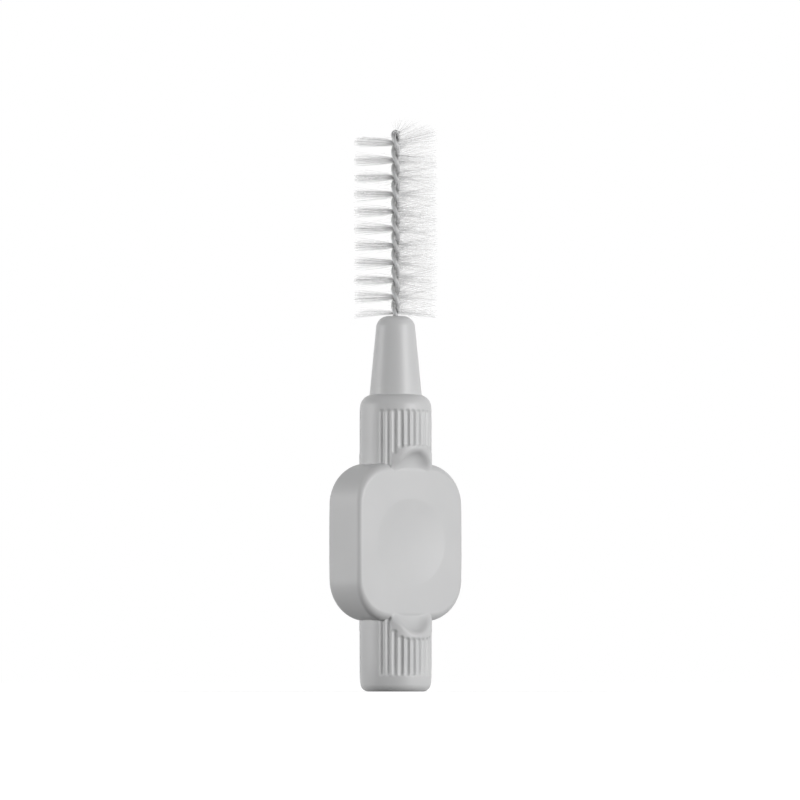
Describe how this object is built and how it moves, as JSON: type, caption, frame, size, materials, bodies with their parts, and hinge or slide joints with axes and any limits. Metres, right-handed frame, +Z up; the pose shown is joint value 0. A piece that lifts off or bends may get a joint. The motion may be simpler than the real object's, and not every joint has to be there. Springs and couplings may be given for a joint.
{
  "type": "interdental brush",
  "caption": "Interdental brush: moulded handle with a flat thumb panel between fluted round collars, a conical neck and a twisted coated wire that holds soft white filaments",
  "frame": {"origin": "centre of the flat lower end of the handle, on the surface that the brush stands on", "axes": "+Z up along the brush, from the handle's end to the filaments' tips; X across the width of the thumb panel; Y through its thickness, with the pictured face towards -Y"},
  "size_m": [0.0132, 0.0084, 0.0557],
  "materials": {
    "handle_plastic": "fine satin moulded surface, grey",
    "wire_steel": "drawn stainless wire",
    "wire_coating": "thin smooth polymer skin, dark grey",
    "filament": "fine white polyamide filament"
  },
  "bodies": {
    "root": {"handle": "handle_plastic", "wire_core": "wire_steel", "wire_coating": "wire_coating", "bristle_row_1": "filament", "bristle_row_2": "filament", "bristle_row_3": "filament", "bristle_row_4": "filament", "bristle_row_5": "filament", "bristle_row_6": "filament"}
  },
  "joints": []
}
